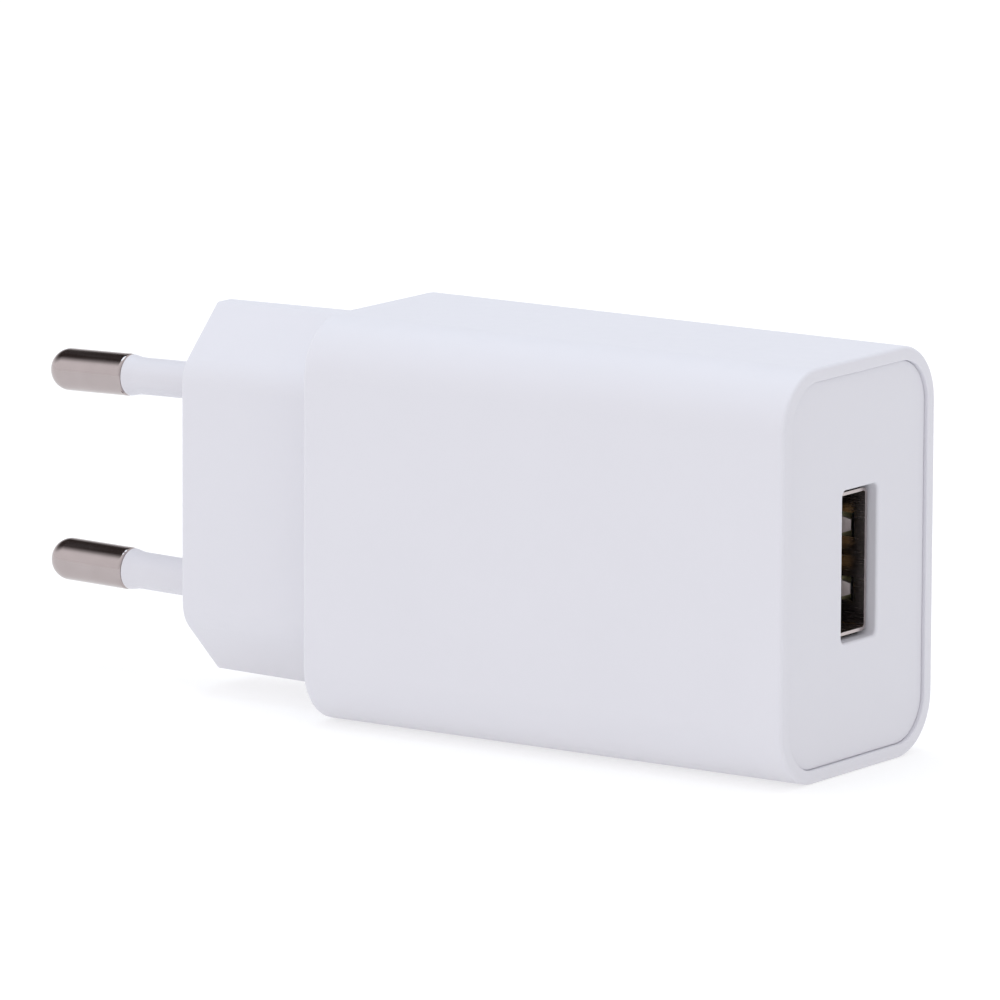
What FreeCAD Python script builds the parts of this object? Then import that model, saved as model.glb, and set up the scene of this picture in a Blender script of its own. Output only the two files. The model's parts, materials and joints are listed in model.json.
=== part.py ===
"""USB wall charger with a two-pin Europlug, built as the assembly of its real pieces.

Frame, in millimetres: the origin is the centre of the engagement face, midway between the
pins. +X runs out of the wall socket to the USB face, +Z is up with one pin above the other,
and +Y goes across the thickness. The charger stands on the narrow side of its housing.
"""

import FreeCAD, Part
import math
import os

V = FreeCAD.Vector
X_AXIS = V(1, 0, 0)
Y_AXIS = V(0, 1, 0)
Z_AXIS = V(0, 0, 1)
ORIGIN = V(0, 0, 0)
SIDES = {"upper": 1, "lower": -1}

# ---- driving dimensions -------------------------------------------------------------

# Housing: a slim plug section that enters the socket, then the wider main block. The plug
# section has its full size at the block, and each side draws in by its draft to the face.
PLUG_LENGTH = 18.2
PLUG_HEIGHT = 35.4
PLUG_THICKNESS = 13.8
PLUG_DRAFT = 0.3
PLUG_CHAMFER = 5.8
PLUG_SIDE_RADIUS = 4.0
PLUG_END_RADIUS = 0.6
BLOCK_END = 70.6
BLOCK_HEIGHT = 37.8
BLOCK_THICKNESS = 25.2
BLOCK_RADIUS = 5.5
WALL = 2.0
PLUG_WALL = 1.8
ENGAGEMENT_WALL = 3.2
FACE_EDGE_RADIUS = 0.35
SHOULDER_EDGE_RADIUS = 0.35
RIM_EDGE_RADIUS = 0.4

# Front cap: a panel let into the open end of the housing, with a skirt inside it.
CAP_INSET = 1.25
CAP_GAP = 0.05
CAP_THICKNESS = 2.2
CAP_RECESS = 0.35
CAP_EDGE_RADIUS = 0.15
CAP_OPENING_RADIUS = 0.3
SKIRT_WALL = 1.2
SKIRT_DEPTH = 5.0
SNAP_LENGTH = 8.0
SNAP_WIDTH = 1.2
SNAP_HEIGHT = 0.45
SNAP_CLEARANCE = 0.08

# Europlug pins: 4 mm, sleeved for the first half, leaning towards each other.
PIN_LENGTH = 19.5
PIN_RADIUS = 2.0
PIN_TIP_RADIUS = 1.9
PIN_SPACING_AT_FACE = 19.0
PIN_SPACING_AT_TIP = 18.1
PIN_CORE_RADIUS = 1.5
PIN_SHOULDER_RADIUS = 0.3
PIN_TAIL = 11.0
PIN_FLANGE_RADIUS = 2.6
PIN_FLANGE_LENGTH = 1.2
SLEEVE_LENGTH = 10.5
SLEEVE_RADIUS = 1.75
SLEEVE_COLLAR_RADIUS = 1.95
SLEEVE_COLLAR_LENGTH = 1.0
SLEEVE_FLANGE_RADIUS = 2.9
SLEEVE_FLANGE_LENGTH = 1.5
PIN_CLEARANCE = 0.1
HOLDER_THICKNESS = 3.0
HOLDER_GAP = 0.1

# USB-A receptacle, with standard inner sizes.
PORT_Y = 0.45
PORT_CUT_Y = 0.7
PORT_CUT_HEIGHT = 13.9
PORT_CUT_THICKNESS = 5.8
PORT_CUT_RADIUS = 0.6
SHELL_POCKET_GAP = 0.1
SHELL_INNER_HEIGHT = 12.5
SHELL_INNER_THICKNESS = 5.12
SHELL_METAL = 0.3
SHELL_LENGTH = 14.0
SHELL_RECESS = 1.35
TONGUE_HEIGHT = 11.1
TONGUE_THICKNESS = 1.84
TONGUE_OFFSET = 0.66
TONGUE_TIP_DEPTH = 3.3
INSULATOR_BLOCK_LENGTH = 4.5
CONTACT_Z = {1: -3.5, 2: -1.0, 3: 1.0, 4: 3.5}
CONTACT_WIDTH = 1.0
CONTACT_METAL = 0.25
CONTACT_ROOT_DEPTH = 0.45
CONTACT_CREST = 0.33
GROOVE_WIDTH = 1.3
GROOVE_DEPTH = 1.25
FINGER_Z = 2.93
FINGER_WIDTH = 1.7
FINGER_TIP_WIDTH = 0.95
FINGER_BEND = 0.5
WINDOW_WIDTH = 2.2
WINDOW_FRONT_DEPTH = 1.15
WINDOW_LENGTH = 5.35

# Circuit board, carried in rails along the middle of the block.
BOARD_THICKNESS = 1.6
BOARD_START = 22.0
BOARD_END = 62.5
BOARD_NOSE_END = 66.6
BOARD_HALF_WIDTH = 16.5
BOARD_NOSE_HALF_WIDTH = 12.0
RAIL_THICKNESS = 0.9
RAIL_HEIGHT = 1.0
RAIL_END = 60.0
LEAD_RADIUS = 0.3
LEAD_HOLE_RADIUS = 0.4
LEAD_STICK_OUT = 0.9

# Where each part's round leads come through the board, as (x, z). Its body is centred on them.
LEADS = {
    "bridge_rectifier": [(23.6, -2.55), (23.6, 2.55), (28.4, -2.55), (28.4, 2.55)],
    "filter_choke": [(31.1, 0.0), (36.1, 0.0)],
    "bulk_capacitor_upper": [(31.2, 9.95), (31.2, 13.45)],
    "bulk_capacitor_lower": [(31.2, -13.45), (31.2, -9.95)],
    "fusible_resistor": [(37.6, 3.1), (37.6, 14.1)],
    "varistor": [(38.0, -11.9), (38.0, -6.9)],
    "safety_capacitor": [(45.0, 12.6), (50.0, 12.6)],
    "output_capacitor_upper": [(58.4, 10.05), (58.4, 12.55)],
    "output_capacitor_lower": [(58.4, -12.55), (58.4, -10.05)],
    "transformer": [(x, z) for x in (41.3, 53.7) for z in (-6.0, -2.0, 2.0, 6.0)],
}
CHOKE_HEIGHT = 9.0
CHOKE_FLANGE = 1.2
CHOKE_CORE_RADIUS = 1.5
CONTROLLER_CHIP = (33.2, 6.5)
OUTPUT_RECTIFIER_CHIP = (61.4, 0.0)
CHIP_RESISTORS = [(26.5, 6.0), (26.5, -6.0), (39.5, 6.5), (39.5, -3.0), (39.5, 0.0), (33.6, -6.5)]
CHIP_CAPACITORS = [(28.4, 8.0), (28.4, -8.0), (51.5, 9.0), (51.5, -9.0), (63.8, 9.0)]
MAINS_TAB_X = (23.4, 25.4)
MAINS_TAB_RADIUS = 0.5
SHELL_LEG_X = (58.6, 64.0)
SHELL_LEG_WIDTH = 1.6
TAIL_PIN_WIDTH = 0.6

# Transformer: a pair of E cores round a bobbin that lies along X over the board.
CORE_X = (40.3, 54.7)
CORE_Y = -3.0
CORE_HALF_Y = 2.4
CORE_HALF_Z = 8.0
CORE_LEG = 2.0
CORE_YOKE = 2.1
CORE_GAP = 0.08
TUBE_WALL = 0.7
FLANGE = 0.7
WINDING_HALF_Z = 5.4
WINDING_HALF_Y = 5.5
WINDING_RADIUS = 1.6
TAPE = 0.25

# ---- places worked out from them ----------------------------------------------------

CAP_FACE = BLOCK_END - CAP_RECESS
CAP_BACK = BLOCK_END - CAP_THICKNESS
SHELL_FRONT = BLOCK_END - SHELL_RECESS
SHELL_BACK = SHELL_FRONT - SHELL_LENGTH
SHELL_HALF_T = SHELL_INNER_THICKNESS / 2 + SHELL_METAL
SHELL_HALF_H = SHELL_INNER_HEIGHT / 2 + SHELL_METAL
TONGUE_TIP = BLOCK_END - TONGUE_TIP_DEPTH
TONGUE_LOW_Y = PORT_Y - SHELL_INNER_THICKNESS / 2 + TONGUE_OFFSET
TONGUE_FACE_Y = TONGUE_LOW_Y + TONGUE_THICKNESS
BLOCK_FRONT = SHELL_BACK + SHELL_METAL + 0.1 + INSULATOR_BLOCK_LENGTH
CONTACT_ROOT = V(BLOCK_FRONT + 0.6, TONGUE_FACE_Y - CONTACT_ROOT_DEPTH, 0)
TAIL_X = SHELL_BACK + 1.7
BOARD_FACE = PORT_Y + SHELL_HALF_T + 0.09
BOARD_BACK = BOARD_FACE + BOARD_THICKNESS
WINDOW_FRONT = SHELL_FRONT - WINDOW_FRONT_DEPTH
WINDOW_BACK = WINDOW_FRONT - WINDOW_LENGTH
PIN_TILT = math.degrees(math.atan((PIN_SPACING_AT_FACE - PIN_SPACING_AT_TIP) / 2 / PIN_LENGTH))
CAVITY_HALF_H = BLOCK_HEIGHT / 2 - WALL
CAVITY_HALF_T = BLOCK_THICKNESS / 2 - WALL
CAVITY_START = PLUG_LENGTH + WALL
MAINS_TAB_Z = PIN_SPACING_AT_FACE / 2 + 9.0 * math.tan(math.radians(PIN_TILT))


# ---- shape helpers ------------------------------------------------------------------


def box(x, y, z):
    """A box from its (low, high) span along each axis."""
    corner = V(x[0], y[0], z[0])
    return Part.makeBox(x[1] - x[0], y[1] - y[0], z[1] - z[0], corner)


def rod(start, direction, length, radius):
    return Part.makeCylinder(radius, length, start, direction)


def fuse(*solids):
    return solids[0].multiFuse(list(solids[1:])).removeSplitter()


def cut(solid, *tools):
    return solid.cut(Part.makeCompound(list(tools)))


def group(*solids):
    return Part.makeCompound(list(solids))


def rounded_wire(points, radii):
    """A closed wire through 3-D points, each corner rounded to its radius (0 keeps it sharp)."""
    edges = []
    previous_end = None
    first_start = None
    count = len(points)
    for i, corner in enumerate(points):
        to_last = (points[i - 1] - corner).normalize()
        to_next = (points[(i + 1) % count] - corner).normalize()
        turn = to_last.getAngle(to_next)
        setback = radii[i] / math.tan(turn / 2)
        start = corner + to_last * setback
        end = corner + to_next * setback
        if previous_end is not None:
            edges.append(Part.LineSegment(previous_end, start).toShape())
        if radii[i] > 0:
            bisector = (to_last + to_next).normalize()
            middle = corner + bisector * (radii[i] / math.sin(turn / 2) - radii[i])
            edges.append(Part.Arc(start, middle, end).toShape())
        first_start = first_start or start
        previous_end = end
    edges.append(Part.LineSegment(previous_end, first_start).toShape())
    return Part.Wire(edges)


def prism(wire, length):
    return Part.Face(wire).extrude(V(length, 0, 0))


def rounded_block(x, half_t, half_h, radius, centre_y=0.0):
    """A rounded-rectangle prism along X."""
    outline = [
        (centre_y - half_t, -half_h),
        (centre_y + half_t, -half_h),
        (centre_y + half_t, half_h),
        (centre_y - half_t, half_h),
    ]
    wire = rounded_wire([V(x[0], y, z) for y, z in outline], [radius] * 4)
    return prism(wire, x[1] - x[0])


def plug_wire(inset, x):
    """The plug section's octagon at x, moved inwards by inset; deep in, its ends are points."""
    half_t = PLUG_THICKNESS / 2 - inset
    half_h = PLUG_HEIGHT / 2 - inset
    chamfer = PLUG_CHAMFER - inset * (2 - math.sqrt(2))
    end_flat = half_t - chamfer
    side = half_h - chamfer
    if end_flat > PLUG_END_RADIUS / 2:
        top = [(end_flat, half_h), (-end_flat, half_h)]
    else:
        top = [(0, half_h + end_flat)]
    bottom = [(-y, -z) for y, z in top]
    outline = [(-half_t, -side), *bottom, (half_t, -side), (half_t, side), *top, (-half_t, side)]
    side_radius = PLUG_SIDE_RADIUS - inset
    end_radii = [PLUG_END_RADIUS] * len(top)
    radii = [side_radius, *end_radii, side_radius] * 2
    return rounded_wire([V(x, y, z) for y, z in outline], radii)


def plug_prism(inset, x):
    return prism(plug_wire(inset, x[0]), x[1] - x[0])


def edges_at(shape, x):
    """The edges that lie wholly in the plane at x."""
    return [e for e in shape.Edges if all(abs(v.X - x) < 1e-4 for v in e.Vertexes)]


def outer_edges_at(shape, x, half_t, half_h):
    """Edges in the plane at x that reach out to an outline of these half sizes."""
    found = []
    for edge in edges_at(shape, x):
        reach_t = max(abs(v.Y) for v in edge.Vertexes)
        reach_h = max(abs(v.Z) for v in edge.Vertexes)
        if reach_t > half_t - 0.05 or reach_h > half_h - 0.05:
            found.append(edge)
    return found


def strip(path, metal, width, centre_z):
    """A sheet-metal strip that follows an (x, y) path, with rounded bends and square ends."""
    offset = []
    for side in (1, -1):
        line = []
        for i, point in enumerate(path):
            before = V(*path[max(i - 1, 0)], 0)
            after = V(*path[min(i + 1, len(path) - 1)], 0)
            here = V(*point, 0)
            if i in (0, len(path) - 1):
                normal = (after - before).normalize().cross(Z_AXIS)
                line.append(here + normal * (side * metal / 2))
                continue
            normal_in = (here - before).normalize().cross(Z_AXIS)
            normal_out = (after - here).normalize().cross(Z_AXIS)
            mitre = (normal_in + normal_out).normalize()
            reach = metal / 2 / mitre.dot(normal_in)
            line.append(here + mitre * (side * reach))
        offset.append(line)
    corners = offset[0] + offset[1][::-1]
    corners = [c + V(0, 0, centre_z - width / 2) for c in corners]
    last = len(path) - 1
    bend = metal * 0.9
    radii = [0 if i in (0, last) else bend for i in range(len(path))]
    face = Part.Face(rounded_wire(corners, radii + radii[::-1]))
    return face.extrude(V(0, 0, width))


def on_pin_axis(shape, side):
    """Moves a shape built on the X axis onto the leaning axis of the upper or lower pin."""
    placed = shape.copy()
    placed.rotate(ORIGIN, Y_AXIS, -side * PIN_TILT)
    placed.translate(V(0, 0, side * PIN_SPACING_AT_FACE / 2))
    return placed


def centre_of(leads):
    """The middle of a set of (x, z) lead places."""
    return sum(x for x, _ in leads) / len(leads), sum(z for _, z in leads) / len(leads)


def lead(place, length_above, radius=LEAD_RADIUS):
    """A round lead through the board; length_above is its length on the parts side."""
    start = V(place[0], BOARD_FACE - length_above, place[1])
    return rod(start, Y_AXIS, length_above + BOARD_THICKNESS + LEAD_STICK_OUT, radius)


def rims(shape):
    """The full-circle edges of a shape."""
    return [e for e in shape.Edges if len(e.Vertexes) == 1]


# ---- housing and cap ----------------------------------------------------------------


def housing():
    """One moulding: plug section, shoulder, main block, board rails and snap pockets."""
    half_t = BLOCK_THICKNESS / 2
    half_h = BLOCK_HEIGHT / 2
    ends = [plug_wire(PLUG_DRAFT, 0), plug_wire(0, PLUG_LENGTH + WALL / 2)]
    plug = Part.makeLoft(ends, True, True)
    plug = plug.makeFillet(FACE_EDGE_RADIUS, edges_at(plug, 0))
    block = rounded_block((PLUG_LENGTH, BLOCK_END), half_t, half_h, BLOCK_RADIUS)
    block = block.makeFillet(SHOULDER_EDGE_RADIUS, edges_at(block, PLUG_LENGTH))
    block = block.makeFillet(RIM_EDGE_RADIUS, outer_edges_at(block, BLOCK_END, half_t, half_h))
    body = fuse(plug, block)

    plug_cavity = plug_prism(PLUG_WALL, (ENGAGEMENT_WALL, CAVITY_START + 0.1))
    inner_radius = BLOCK_RADIUS - WALL
    cavity_span = (CAVITY_START, BLOCK_END + 1)
    cavity = rounded_block(cavity_span, CAVITY_HALF_T, CAVITY_HALF_H, inner_radius)
    rebate_inset = CAP_INSET - CAP_GAP
    rebate = rounded_block(
        (CAP_BACK, BLOCK_END + 1),
        half_t - rebate_inset,
        half_h - rebate_inset,
        BLOCK_RADIUS - rebate_inset,
    )
    body = cut(body, plug_cavity, cavity, rebate)
    body = cut(body, *[pin_hole(side) for side in SIDES.values()])
    body = cut(body, *snap_blocks(SNAP_CLEARANCE))
    return fuse(body, *board_rails())


def pin_hole(side):
    """Hole for the sleeve, with a counterbore on the inside for the sleeve's flange."""
    hole = rod(V(-1, 0, 0), X_AXIS, ENGAGEMENT_WALL + 2, SLEEVE_RADIUS + PIN_CLEARANCE)
    counterbore_start = ENGAGEMENT_WALL - SLEEVE_FLANGE_LENGTH - PIN_CLEARANCE
    counterbore = rod(
        V(counterbore_start, 0, 0), X_AXIS, ENGAGEMENT_WALL, SLEEVE_FLANGE_RADIUS + PIN_CLEARANCE
    )
    return on_pin_axis(hole.fuse(counterbore), side)


def board_rails():
    """A pair of ribs along each narrow wall, closed by a stop at the plug end."""
    rails = []
    slot = (BOARD_FACE - 0.1, BOARD_BACK + 0.1)
    root = CAVITY_HALF_H + 0.2
    tip = CAVITY_HALF_H - RAIL_HEIGHT
    for sign in SIDES.values():
        z = sorted((sign * tip, sign * root))
        span = (CAVITY_START - 0.2, RAIL_END)
        rails.append(box(span, (slot[0] - RAIL_THICKNESS, slot[0]), z))
        rails.append(box(span, (slot[1], slot[1] + RAIL_THICKNESS), z))
        stop = (slot[0] - RAIL_THICKNESS, slot[1] + RAIL_THICKNESS)
        rails.append(box((CAVITY_START - 0.2, BOARD_START - 0.1), stop, z))
    return rails


def snap_blocks(clearance):
    """The four snap ridges on the skirt; with clearance they are the housing's pockets."""
    centre_x = CAP_BACK - SKIRT_DEPTH + SNAP_WIDTH
    x = (centre_x - SNAP_WIDTH / 2 - clearance, centre_x + SNAP_WIDTH / 2 + clearance)
    along = SNAP_LENGTH / 2 + clearance
    height = SNAP_HEIGHT + clearance
    blocks = []
    for sign in (-1, 1):
        across_t = sorted((sign * (CAVITY_HALF_T - 0.3), sign * (CAVITY_HALF_T + height)))
        blocks.append(box(x, across_t, (-along, along)))
        across_h = sorted((sign * (CAVITY_HALF_H - 0.3), sign * (CAVITY_HALF_H + height)))
        blocks.append(box(x, (-along, along), across_h))
    return blocks


def front_cap():
    """Panel with the USB opening, a skirt with snap ridges, and two feet behind the board."""
    plate_inset = CAP_INSET + CAP_GAP
    half_t = BLOCK_THICKNESS / 2 - plate_inset
    half_h = BLOCK_HEIGHT / 2 - plate_inset
    plate = rounded_block((CAP_BACK, CAP_FACE), half_t, half_h, BLOCK_RADIUS - plate_inset)
    plate = plate.makeFillet(CAP_EDGE_RADIUS, edges_at(plate, CAP_FACE))

    skirt_t = CAVITY_HALF_T - 0.1
    skirt_h = CAVITY_HALF_H - 0.1
    radius = BLOCK_RADIUS - WALL - 0.1
    span = (CAP_BACK - SKIRT_DEPTH, CAP_BACK)
    outer = rounded_block(span, skirt_t, skirt_h, radius)
    inner = rounded_block(
        (span[0] - 1, span[1]), skirt_t - SKIRT_WALL, skirt_h - SKIRT_WALL, radius - SKIRT_WALL
    )
    ridges = [ridge.cut(inner) for ridge in snap_blocks(0)]
    opening = rounded_block(
        (CAP_BACK - 1, BLOCK_END + 1),
        PORT_CUT_THICKNESS / 2,
        PORT_CUT_HEIGHT / 2,
        PORT_CUT_RADIUS,
        PORT_CUT_Y,
    )
    pocket = rounded_block(
        (CAP_BACK - 1, SHELL_FRONT + SHELL_POCKET_GAP),
        SHELL_HALF_T + SHELL_POCKET_GAP,
        SHELL_HALF_H + SHELL_POCKET_GAP,
        0.6,
        PORT_Y,
    )
    feet = []
    for sign in SIDES.values():
        z = sorted((sign * 8.0, sign * 10.5))
        feet.append(box((BOARD_NOSE_END + 0.1, CAP_BACK), (BOARD_FACE - 0.4, BOARD_BACK + 0.4), z))
    cap = fuse(plate, outer.cut(inner), *ridges, *feet).cut(opening).cut(pocket)
    return cap.makeFillet(CAP_OPENING_RADIUS, opening_edges(cap))


def opening_edges(cap):
    """The edges of the USB opening on the cap's outer face."""
    reach = PORT_CUT_HEIGHT / 2 + 0.1
    return [e for e in edges_at(cap, CAP_FACE) if max(abs(v.Z) for v in e.Vertexes) < reach]


# ---- mains pins ---------------------------------------------------------------------


def pin(side):
    """Brass pin: rounded tip, a core inside the sleeve, a flange and a tail inside the case."""
    tip = rod(V(-PIN_LENGTH, 0, 0), X_AXIS, PIN_LENGTH - SLEEVE_LENGTH, PIN_RADIUS)
    tip = tip.makeFillet(PIN_TIP_RADIUS, edges_at(tip, -PIN_LENGTH))
    tip = tip.makeFillet(PIN_SHOULDER_RADIUS, edges_at(tip, -SLEEVE_LENGTH))
    core_start = -SLEEVE_LENGTH - 1
    core = rod(V(core_start, 0, 0), X_AXIS, PIN_TAIL - core_start, PIN_CORE_RADIUS)
    core = core.makeChamfer(0.3, edges_at(core, PIN_TAIL))
    flange = rod(V(ENGAGEMENT_WALL, 0, 0), X_AXIS, PIN_FLANGE_LENGTH, PIN_FLANGE_RADIUS)
    return on_pin_axis(fuse(tip, core, flange), side)


def pin_sleeve(side):
    """Insulation over the core: a collar against the bare metal, and a flange in the wall."""
    start = V(-SLEEVE_LENGTH, 0, 0)
    tube = rod(start, X_AXIS, SLEEVE_LENGTH + ENGAGEMENT_WALL, SLEEVE_RADIUS)
    collar = Part.makeCone(SLEEVE_COLLAR_RADIUS, SLEEVE_RADIUS, SLEEVE_COLLAR_LENGTH, start, X_AXIS)
    flange_start = ENGAGEMENT_WALL - SLEEVE_FLANGE_LENGTH
    flange = rod(V(flange_start, 0, 0), X_AXIS, SLEEVE_FLANGE_LENGTH, SLEEVE_FLANGE_RADIUS)
    bore = rod(V(-SLEEVE_LENGTH - 1, 0, 0), X_AXIS, 20, PIN_CORE_RADIUS)
    return on_pin_axis(fuse(tube, collar, flange).cut(bore), side)


def pin_holder():
    """Welded plate behind the engagement wall that clamps both pin flanges."""
    start = ENGAGEMENT_WALL + HOLDER_GAP
    plate = plug_prism(PLUG_WALL + 0.1, (start, start + HOLDER_THICKNESS))
    tools = []
    for side in SIDES.values():
        seat_length = start - ENGAGEMENT_WALL + PIN_FLANGE_LENGTH + 0.3
        seat = rod(V(start - 0.3, 0, 0), X_AXIS, seat_length, PIN_FLANGE_RADIUS + PIN_CLEARANCE)
        bore = rod(ORIGIN, X_AXIS, 20, PIN_CORE_RADIUS + PIN_CLEARANCE)
        tools.append(on_pin_axis(seat.fuse(bore), side))
    relief = box((start - 1, start + HOLDER_THICKNESS + 1), (-6, 6), (-3.5, 3.5))
    waist = box((start - 1, start + 1.6), (-6, 6), (-3.5, 3.5))
    return cut(plate, *tools, relief.common(waist))


def mains_contact(side):
    """Sprung bronze strip, soldered to the board, whose bowed end presses on a pin's tail."""
    metal = 0.4
    touch = PIN_CORE_RADIUS + metal / 2 + 0.02
    lying = BOARD_FACE - metal / 2
    path = [(6.9, touch + 0.9), (9.0, touch), (12.5, lying - 0.3), (15.0, lying), (26.5, lying)]
    z = side * MAINS_TAB_Z
    spring = strip(path, metal, 4.6, z)
    tabs = [lead((x, z), 0.2, MAINS_TAB_RADIUS) for x in MAINS_TAB_X]
    return fuse(spring, *tabs)


# ---- USB receptacle -----------------------------------------------------------------


def usb_shell():
    """Stamped steel shell with four windows, a folded back and board legs."""
    tube = rounded_block((SHELL_BACK, SHELL_FRONT), SHELL_HALF_T, SHELL_HALF_H, 0.6, PORT_Y)
    inside = rounded_block(
        (SHELL_BACK + SHELL_METAL, SHELL_FRONT + 1),
        SHELL_INNER_THICKNESS / 2,
        SHELL_INNER_HEIGHT / 2,
        0.3,
        PORT_Y,
    )
    legs = []
    for sign in SIDES.values():
        outer = sign * SHELL_HALF_H
        z = sorted((outer, outer - sign * SHELL_METAL))
        for x in SHELL_LEG_X:
            legs.append(box((x, x + SHELL_LEG_WIDTH), (PORT_Y, BOARD_BACK + LEAD_STICK_OUT), z))
    windows = []
    for y_sign in (-1, 1):
        wall = sorted((PORT_Y + y_sign * 2, PORT_Y + y_sign * 4))
        for z_sign in (-1, 1):
            centre = z_sign * FINGER_Z
            z = (centre - WINDOW_WIDTH / 2, centre + WINDOW_WIDTH / 2)
            windows.append(box((WINDOW_BACK, WINDOW_FRONT), wall, z))
    tail_notch = box((SHELL_BACK - 1, TAIL_X + 0.8), (PORT_Y + 1, PORT_Y + 4), (-4.4, 4.4))
    shell = fuse(tube.cut(inside), *legs)
    return cut(shell, tail_notch, *windows)


def grip_fingers(y_sign):
    """The two spring fingers in one long wall of the shell, bent in to grip a plug."""
    wall_y = PORT_Y + y_sign * (SHELL_INNER_THICKNESS / 2 + SHELL_METAL / 2)
    root_x = WINDOW_BACK + 0.2
    tip_x = WINDOW_FRONT - 0.3
    path = [
        (root_x, wall_y),
        (root_x + 0.5, wall_y),
        (tip_x - 1.1, wall_y - y_sign * FINGER_BEND),
        (tip_x, wall_y - y_sign * (FINGER_BEND - 0.35)),
    ]
    fingers = []
    for z_sign in (-1, 1):
        centre = z_sign * FINGER_Z
        blank = strip(path, SHELL_METAL, FINGER_WIDTH, centre)
        root_round = rod(V(root_x, wall_y, centre - FINGER_WIDTH / 2), Z_AXIS, FINGER_WIDTH, SHELL_METAL / 2)
        outline = [
            V(root_x - 1, 0, centre - FINGER_WIDTH / 2),
            V(tip_x - 1.0, 0, centre - FINGER_WIDTH / 2),
            V(tip_x + 0.1, 0, centre - FINGER_TIP_WIDTH / 2),
            V(tip_x + 0.1, 0, centre + FINGER_TIP_WIDTH / 2),
            V(tip_x - 1.0, 0, centre + FINGER_WIDTH / 2),
            V(root_x - 1, 0, centre + FINGER_WIDTH / 2),
        ]
        plan = Part.Face(Part.makePolygon(outline + [outline[0]]))
        plan.translate(V(0, wall_y - 2, 0))
        fingers.append(fuse(blank, root_round).common(plan.extrude(V(0, 4, 0))))
    return group(*fingers)


def contact_beam(number):
    """The sprung front part of one contact: it rises out of its groove and dips at the nose."""
    root = CONTACT_ROOT
    path = [
        (root.x, root.y),
        (root.x + 0.5, root.y),
        (root.x + 3.9, TONGUE_FACE_Y + CONTACT_CREST),
        (root.x + 5.3, TONGUE_FACE_Y - 0.3),
    ]
    centre = CONTACT_Z[number]
    beam = strip(path, CONTACT_METAL, CONTACT_WIDTH, centre)
    end = rod(V(root.x, root.y, centre - CONTACT_WIDTH / 2), Z_AXIS, CONTACT_WIDTH, CONTACT_METAL / 2)
    return fuse(beam, end)


def contact_tail_shape(number, grow):
    """The fixed part of a contact, from the root of its beam back and through the board."""
    half = CONTACT_METAL / 2 + grow
    wide = CONTACT_WIDTH / 2 + grow
    z = (CONTACT_Z[number] - wide, CONTACT_Z[number] + wide)
    front = CONTACT_ROOT.x - CONTACT_METAL / 2 - 0.05
    y = CONTACT_ROOT.y
    level = box((TAIL_X - half, front), (y - half, y + half), z)
    reach = TAIL_PIN_WIDTH / 2 + grow
    narrow = (CONTACT_Z[number] - reach, CONTACT_Z[number] + reach)
    upright = box((TAIL_X - half, TAIL_X + half), (y - half, BOARD_BACK + LEAD_STICK_OUT), narrow)
    return fuse(level, upright)


def contact_tails():
    return group(*[contact_tail_shape(number, 0) for number in CONTACT_Z])


def usb_insulator():
    """Moulded block and tongue, with a groove under each contact beam."""
    half_t = SHELL_INNER_THICKNESS / 2 - 0.05
    block_span = (SHELL_BACK + SHELL_METAL + 0.1, BLOCK_FRONT)
    block = rounded_block(block_span, half_t, SHELL_INNER_HEIGHT / 2 - 0.05, 0.3, PORT_Y)
    tongue = box(
        (BLOCK_FRONT - 0.5, TONGUE_TIP),
        (TONGUE_LOW_Y, TONGUE_FACE_Y),
        (-TONGUE_HEIGHT / 2, TONGUE_HEIGHT / 2),
    )
    tip_edges = [e for e in edges_at(tongue, TONGUE_TIP) if e.Length > TONGUE_THICKNESS + 1]
    tongue = tongue.makeChamfer(0.3, tip_edges)
    tools = []
    for number, z in CONTACT_Z.items():
        groove_y = (TONGUE_FACE_Y - GROOVE_DEPTH, TONGUE_FACE_Y + 1)
        groove_z = (z - GROOVE_WIDTH / 2, z + GROOVE_WIDTH / 2)
        tools.append(box((BLOCK_FRONT, TONGUE_TIP - 0.35), groove_y, groove_z))
        tools.append(contact_tail_shape(number, 0.03))
    return cut(fuse(block, tongue), *tools)


# ---- circuit board and its parts ----------------------------------------------------


def capacitor(name, radius, height):
    """Electrolytic can on two leads, with a rolled rim, a crimp groove and a vent cross."""
    leads = LEADS[name]
    x, z = centre_of(leads)
    base = BOARD_FACE - 0.2
    top = base - height
    body = rod(V(x, top, z), Y_AXIS, height, radius)
    body = body.makeFillet(0.5, rims(body))
    crimp = Part.makeTorus(radius + 0.25, 0.5, V(x, base - 1.6, z), Y_AXIS)
    arm = radius * 0.62
    vent = (top - 1, top + 0.15)
    cross = [
        box((x - arm, x + arm), vent, (z - 0.15, z + 0.15)),
        box((x - 0.15, x + 0.15), vent, (z - arm, z + arm)),
    ]
    return fuse(cut(body, crimp, *cross), *[lead(place, 0.3) for place in leads])


def disc_part(name, radius, thickness):
    """A dipped disc, such as a varistor or a ceramic capacitor, standing on two leads."""
    stand = 1.0
    first, second = LEADS[name]
    x, z = centre_of(LEADS[name])
    across = V(second[0] - first[0], 0, second[1] - first[1]).normalize()
    normal = across.cross(Y_AXIS)
    centre = V(x, BOARD_FACE - stand - radius, z)
    disc = rod(centre - normal * (thickness / 2), normal, thickness, radius)
    disc = disc.makeFillet(thickness * 0.35, rims(disc))
    return fuse(disc, *[lead(place, stand + radius * 0.5) for place in LEADS[name]])


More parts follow.
